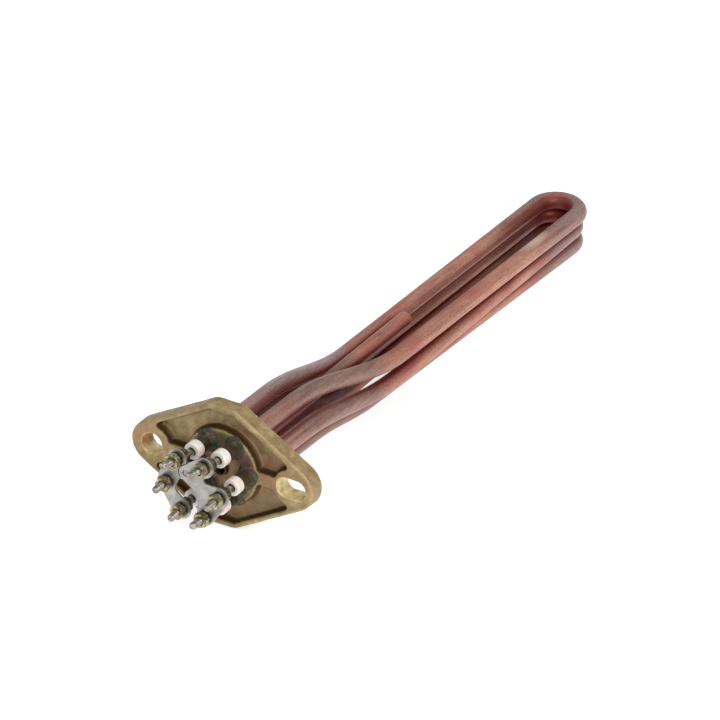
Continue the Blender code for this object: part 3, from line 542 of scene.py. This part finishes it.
# The sixth value of each finish is the colour of its painted shade where parts meet
LINK_STEEL = worn_metal("nickel_plated_sheet", "#8f8a88", "#a09d9a", "#aeaba7", 0.42, "#3a322e", 4)
PIN_STEEL = worn_metal("plated_steel_pin", "#6f6a61", "#8c877d", "#aaa59b", 0.36, "#2a251f", 1.5)
WASHER_STEEL = worn_metal("oxidised_steel", "#2b2620", "#453d33", "#655a49", 0.45, "#120f0b", 1.5)
INNER_BRASS = worn_metal("fluxed_brass", "#3f3b29", "#5d563c", "#857b58", 0.42, "#1a160c", 1.5)
NUT_BRASS = worn_metal("turned_brass", "#6f6547", "#8c825f", "#bdb28c", 0.34, "#211a0e", 1.5)
BRAZE = worn_metal("silver_braze", "#6d5c48", "#857462", "#a0907b", 0.45, "#2a2018", 2.0)
FLUX = flux_residue()


def add_piece(name, mesh, material, slot, *replaced):
    """Add a piece to the scene: shaded, riding on the part, and standing for the nodes it replaces."""
    made = bpy.data.objects.new(name, mesh)
    bpy.context.scene.collection.objects.link(made)
    made.data.materials.clear()
    made.data.materials.append(material)
    mesh.shade_smooth()
    mesh.set_sharp_from_angle(angle=SHARP)
    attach(made, "root")
    if replaced:
        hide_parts(*replaced)
    return made


def mesh_of_rings(name, rings, closed_tube=False):
    """A surface through rings of points; the first and last are capped unless the tube is closed."""
    mesh = bpy.data.meshes.new(name)
    count = len(rings[0])
    points = [point for ring in rings for point in ring]
    faces = []
    last = len(rings) if closed_tube else len(rings) - 1
    for i in range(last):
        here = i * count
        there = ((i + 1) % len(rings)) * count
        for j in range(count):
            k = (j + 1) % count
            faces.append((here + j, here + k, there + k, there + j))
    if not closed_tube:
        faces.append(tuple(range(count))[::-1])
        faces.append(tuple(range((len(rings) - 1) * count, len(rings) * count)))
    mesh.from_pydata(points, [], faces)
    form = bmesh.new()
    form.from_mesh(mesh)
    bmesh.ops.remove_doubles(form, verts=form.verts, dist=0.000001)
    bmesh.ops.recalc_face_normals(form, faces=form.faces)
    form.to_mesh(mesh)
    form.free()
    return mesh


def ring(centre_x, centre_z, radius, height, sides):
    """Points round an axis that runs out of the flange, at one height."""
    turns = [math.tau * i / sides for i in range(sides)]
    return [Vector((centre_x + radius * math.cos(a), -height, centre_z + radius * math.sin(a)))
            for a in turns]


def turned(name, profile, centre, sides, closed):
    """A turned shape from (radius, height) points, about an axis out of the flange."""
    rings = [ring(centre[0], centre[1], radius, height, sides) for radius, height in profile]
    return mesh_of_rings(name, rings, closed)


def arc(centre, radius, start, end, steps):
    """Points round part of a circle, from one angle to another in degrees."""
    angles = [math.radians(start + (end - start) * i / steps) for i in range(steps + 1)]
    return [(centre[0] + radius * math.cos(a), centre[1] + radius * math.sin(a)) for a in angles]


def centre_of(node):
    """The middle of a node's box."""
    low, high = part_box(node)
    return (low + high) / 2


def terminal_axis(number):
    """Where a terminal's tube passes through the flange, as (x, z)."""
    middle = centre_of(f"ceramic_bead_{number}")
    return middle.x, middle.z


TUBE_END = -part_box("heating_tube_top")[0].y


def leg(start, bend, low, turn_spot, turn_depth):
    """One leg of a hairpin as (x, z, depth) points, from its terminal end to the U bend.

    Its bend is the pair of depths between which it eases over from its start to its low spot.
    """
    first, last = bend
    points = [(*start, -TUBE_END), (*start, -TUBE_END + END_STEP), (*start, 0.0), (*start, first)]
    for i in range(1, BEND_STEPS + 1):
        share = i / BEND_STEPS
        eased = (1 - math.cos(math.pi * share)) / 2
        spot = Vector(start).lerp(Vector(low), eased)
        points.append((*spot, first + (last - first) * share))
    for i in range(1, STRAIGHT_STEPS + 1):
        share = i / STRAIGHT_STEPS
        spot = Vector(low).lerp(Vector(turn_spot), share)
        points.append((*spot, last + (turn_depth - last) * share))
    return points


def hairpin(left, right, level, centre):
    """A hairpin's route, down one leg, round the U bend and up the other, as world points."""
    middle, turn_depth = centre
    down = leg(*left, (middle - TURN_RADIUS, level), turn_depth)
    up = leg(*right, (middle + TURN_RADIUS, level), turn_depth)
    turn = [(x, level, depth) for x, depth in arc(centre, TURN_RADIUS, 180, 0, TURN_STEPS)[1:-1]]
    return [Vector((x, depth, z)) for x, z, depth in down + turn + list(reversed(up))]


def tube_mesh(name, route):
    """A round tube with flat ends, along a route that is never upright."""
    rings = []
    for i, point in enumerate(route):
        before = route[max(i - 1, 0)]
        after = route[min(i + 1, len(route) - 1)]
        forward = (after - before).normalized()
        side = forward.cross(Vector((0, 0, 1))).normalized()
        up = side.cross(forward)
        angles = [math.tau * j / TUBE_SIDES for j in range(TUBE_SIDES)]
        rings.append([point + TUBE_RADIUS * (math.cos(a) * side + math.sin(a) * up) for a in angles])
    return mesh_of_rings(name, rings)


def beside(spot, distance, degrees):
    """A spot at a distance from another, in a direction in degrees."""
    angle = math.radians(degrees)
    return spot + distance * Vector((math.cos(angle), math.sin(angle)))


def make_tubes():
    """The three hairpins, one under the other, with the bottom legs nested beside the middle ones."""
    pitch = 2 * TUBE_RADIUS + TUBE_SPACING_GAP
    bottom_low = [beside(spot, pitch + BOTTOM_SLACK, way) for spot, way in zip(MIDDLE_LOW, BOTTOM_WAY)]
    low_spots = {"top": TOP_LOW, "middle": MIDDLE_LOW, "bottom": bottom_low}
    for row, (name, (ends, bends, centre)) in enumerate(HAIRPINS.items()):
        left, right = [(terminal_axis(end), bend, low)
                       for end, bend, low in zip(ends, bends, low_spots[name])]
        route = hairpin(left, right, TOP_LEVEL - row * pitch, centre)
        add_piece(f"copper_sheath_{name}", tube_mesh(f"copper_sheath_{name}", route), COPPER, "copper",
                  f"heating_tube_{name}")


def make_well():
    """The thermostat's pocket: thin copper, open at the flange, rounded at its closed end."""
    inner = WELL_RADIUS - WELL_WALL
    top = FLANGE_FRONT + WELL_LIP
    rim = WELL_WALL / 2
    profile = [(NEAR_AXIS, -WELL_DEPTH)]
    profile += arc((0, WELL_RADIUS - WELL_DEPTH), WELL_RADIUS, -80, 0, 12)
    profile += arc((WELL_RADIUS - rim, top - rim), rim, 0, 180, 8)
    profile += arc((0, WELL_RADIUS - WELL_DEPTH), inner, 0, -80, 12)
    profile += [(NEAR_AXIS, WELL_WALL - WELL_DEPTH)]
    mesh = turned("well_pocket", profile, (0, 0), TURNED_SIDES, False)
    hinge = Vector((0, -FLANGE_FRONT / 2, 0))
    lean = Matrix.Translation(hinge) @ Matrix.Rotation(WELL_TILT, 4, "X") @ Matrix.Translation(-hinge)
    mesh.transform(lean)
    add_piece("well_pocket", mesh, COPPER, "copper", "thermostat_well")


def make_flange():
    """The forging: the frame's solid with its facets melted into soft, slightly uneven faces."""
    mesh = nodes["flange"].data.copy()
    flange = add_piece("flange_forging", mesh, BRASS, "forged_brass", "flange")
    remesh = flange.modifiers.new("dense skin", "REMESH")
    remesh.mode = "VOXEL"
    remesh.voxel_size = SKIN_VOXEL
    remesh.use_smooth_shade = True
    soften = flange.modifiers.new("soft edges", "SMOOTH")
    soften.factor = 0.5
    soften.iterations = 5
    clouds = bpy.data.textures.new("forging_waves", "CLOUDS")
    clouds.noise_scale = SKIN_WAVE
    waves = flange.modifiers.new("uneven skin", "DISPLACE")
    waves.texture = clouds
    waves.texture_coords = "LOCAL"
    waves.strength = SKIN_HEIGHT


def make_beads():
    """Ceramic collars with a small rounding at the foot and bore and a larger one at the outer rim."""
    small = BEAD_EDGE / 2
    for number in TERMINALS:
        low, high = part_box(f"ceramic_bead_{number}")
        outer = (high.x - low.x) / 2
        inner = outer / 2
        bottom, top = -high.y, -low.y
        profile = [(inner, bottom), (outer - small, bottom)]
        profile += arc((outer - small, bottom + small), small, -90, 0, 4)
        profile += arc((outer - BEAD_EDGE, top - BEAD_EDGE), BEAD_EDGE, 0, 90, 7)
        profile += arc((inner + small, top - small), small, 90, 180, 5)
        mesh = turned(f"ceramic_collar_{number}", profile, terminal_axis(number), TURNED_SIDES, True)
        add_piece(f"ceramic_collar_{number}", mesh, CERAMIC, "ceramic", f"ceramic_bead_{number}")


def pin_lean(number):
    """How far a pin leans sideways for each metre that it rises above its bead."""
    nut = centre_of(f"outer_nut_{number}")
    bead = centre_of(f"ceramic_bead_{number}")
    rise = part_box(f"ceramic_bead_{number}")[0].y - nut.y
    return (nut.x - bead.x) / rise, (nut.z - bead.z) / rise


def pin_radius(height, turn, thread_start, tip):
    """A pin's radius at a height and a share of a turn: shank, then thread, then a rounded tip."""
    if height < thread_start:
        return SHANK_RADIUS
    groove = abs(2 * ((height / THREAD_PITCH + turn) % 1) - 1)
    short = 1 - min((tip - height) / PIN_TIP, 1)
    return min(PIN_RADIUS - THREAD_DEPTH * groove, PIN_RADIUS * math.sqrt(max(1 - short ** 2, 0.02)))


def make_pins():
    """Threaded pins: a real single-start thread runs up the leaning part to a rounded tip."""
    step = THREAD_PITCH / THREAD_STEPS
    for number in TERMINALS:
        x, z = terminal_axis(number)
        low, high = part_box(f"terminal_pin_{number}")
        bead_top = -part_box(f"ceramic_bead_{number}")[0].y
        thread_start = -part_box(f"inner_nut_{number}")[1].y - THREAD_LEAD
        lean = pin_lean(number)
        foot, tip = -high.y, -low.y
        heights = [foot, foot + PIN_STEP, bead_top - PIN_STEP, bead_top, thread_start - THREAD_RUNOUT]
        thread_rings = int((tip - THREAD_RUNOUT - thread_start) / step)
        heights += [thread_start + step * i for i in range(thread_rings)]
        rings = []
        for height in heights:
            lift = max(height - bead_top, 0)
            centre_x, centre_z = x + lean[0] * lift, z + lean[1] * lift
            centre = Vector((centre_x, -height, centre_z))
            points = ring(centre_x, centre_z, 1.0, height, PIN_SIDES)
            rings.append([
                centre + (point - centre) * pin_radius(height, i / PIN_SIDES, thread_start, tip)
                for i, point in enumerate(points)])
        mesh = mesh_of_rings(f"threaded_pin_{number}", rings)
        add_piece(f"threaded_pin_{number}", mesh, PIN_STEEL, "steel", f"terminal_pin_{number}")


def soften_edges(piece, width):
    """Round a piece's edges over a narrow width."""
    rounding = piece.modifiers.new("soft edges", "BEVEL")
    rounding.width = width
    rounding.segments = 2
    rounding.limit_method = "ANGLE"
    rounding.angle_limit = SHARP


def dress_node(name, material, edge):
    """Give a node of the frame its finish and slightly worn edges."""
    piece = nodes[name]
    piece.data.materials.clear()
    piece.data.materials.append(material)
    soften_edges(piece, edge)


def dress_hardware():
    """Dress the nuts, washers and link plates, which stay the frame's own solids."""
    for number in TERMINALS:
        dress_node(f"inner_nut_{number}", INNER_BRASS, NUT_EDGE)
        dress_node(f"outer_nut_{number}", NUT_BRASS, NUT_EDGE)
        dress_node(f"flat_washer_{number}", WASHER_STEEL, WASHER_EDGE)
        dress_node(f"spring_washer_{number}", WASHER_STEEL, WASHER_EDGE)
    dress_node("link_plate_left", LINK_STEEL, LINK_EDGE)
    dress_node("link_plate_right", LINK_STEEL, LINK_EDGE)


def lumpy_ring(name, centre, radius, base, outward, width, height, seed):
    """A crust round a tube against the flange: it spreads unevenly at its foot and climbs the tube.

    It stands on the flange's face at the base height, outward being 1 in front and -1 behind.
    """
    profile = [(1.0, -0.1), (1.0, 0.02), (0.7, 0.07), (0.4, 0.16), (0.22, 0.32), (0.14, 0.6),
               (0.09, 0.9), (0.0, 1.0), (0.0, -0.1)]
    rings = []
    for row, (share, rise) in enumerate(profile):
        points = []
        for j in range(CRUST_SIDES):
            a = math.tau * j / CRUST_SIDES
            way = Vector((math.cos(a), math.sin(a)))
            broad = noise.noise(Vector((way.x * 1.3, way.y * 1.3, seed)))
            crumbs = noise.noise(Vector((way.x * 7, way.y * 7, seed + row * 0.3)))
            reach = radius - CRUST_OVERLAP + width * share * (1 + 0.7 * broad + 0.25 * crumbs)
            lift = height * rise * (1 + 1.1 * broad + 0.3 * crumbs)
            points.append(Vector((centre[0] + reach * math.cos(a), -(base + outward * lift),
                                  centre[1] + reach * math.sin(a))))
        rings.append(points)
    return mesh_of_rings(name, rings, True)


def make_brazing():
    """Braze fillets on the flange's back, and crusts of burnt flux round the terminal ends."""
    for number in TERMINALS:
        centre = terminal_axis(number)
        back = lumpy_ring(f"braze_back_{number}", centre, TUBE_RADIUS, 0.0, -1, *BRAZE_SIZE, number)
        add_piece(f"braze_back_{number}", back, BRAZE, "copper")
        front = lumpy_ring(f"flux_front_{number}", centre, TUBE_RADIUS, FLANGE_FRONT, 1, *FLUX_SIZE,
                           number + FLUX_SEED)
        add_piece(f"flux_front_{number}", front, FLUX, "dark_steel")


def make_floor():
    """A pale paper floor under the object, which fades into the white surroundings."""
    low = cad_box[0]
    mesh = bpy.data.meshes.new("studio_floor")
    form = bmesh.new()
    bmesh.ops.create_grid(form, x_segments=1, y_segments=1, size=FLOOR_HALF)
    form.to_mesh(mesh)
    form.free()
    floor = bpy.data.objects.new("studio_floor", mesh)
    floor.location = (0, 0, low.z - FLOOR_DROP)
    bpy.context.scene.collection.objects.link(floor)
    made, tree, shader = new_material("studio_paper")
    shader.inputs["Base Color"].default_value = linear("#f4f4f4")
    shader.inputs["Roughness"].default_value = 0.9
    shader.inputs["Emission Color"].default_value = (1, 1, 1, 1)
    shader.inputs["Emission Strength"].default_value = FLOOR_GLOW
    mesh.materials.append(made)


def add_light(name, place, size, power):
    """A square soft box that shines at the object."""
    light = bpy.data.lights.new(name, "AREA")
    light.size = size
    light.energy = power
    lamp = bpy.data.objects.new(name, light)
    lamp.location = place
    lamp.rotation_euler = (Vector(LIT_SPOT) - Vector(place)).to_track_quat("-Z", "Y").to_euler()
    bpy.context.scene.collection.objects.link(lamp)


def make_light():
    """A light tent: white all round, a large soft box above and a smaller, stronger one to the right."""
    world = bpy.data.worlds.new("light_tent")
    world.use_nodes = True
    bpy.context.scene.world = world
    background = world.node_tree.nodes["Background"]
    background.inputs["Color"].default_value = (1, 1, 1, 1)
    background.inputs["Strength"].default_value = TENT_STRENGTH
    add_light("soft_box_above", place=(0.1, 0.3, 1.4), size=1.1, power=8)
    add_light("soft_box_right", place=(1.1, -0.7, 0.9), size=0.8, power=14)


def make_camera():
    """The photograph's view: a long lens from the terminal side, a little above."""
    back = Vector((math.sin(AZIMUTH) * math.cos(ELEVATION), -math.cos(AZIMUTH) * math.cos(ELEVATION),
                   math.sin(ELEVATION)))
    camera = bpy.data.cameras.new("camera")
    camera.sensor_width = SENSOR
    camera.lens = SENSOR * CAMERA_DISTANCE / VIEW_WIDTH
    camera.clip_end = CLIP_END
    made = bpy.data.objects.new("camera", camera)
    made.location = AIM + back * CAMERA_DISTANCE
    made.rotation_euler = back.to_track_quat("Z", "Y").to_euler()
    bpy.context.scene.collection.objects.link(made)
    bpy.context.scene.camera = made
    bpy.context.scene.view_settings.view_transform = "Standard"


make_flange()
make_tubes()
make_well()
make_beads()
make_pins()
dress_hardware()
make_brazing()
make_floor()
make_light()
make_camera()
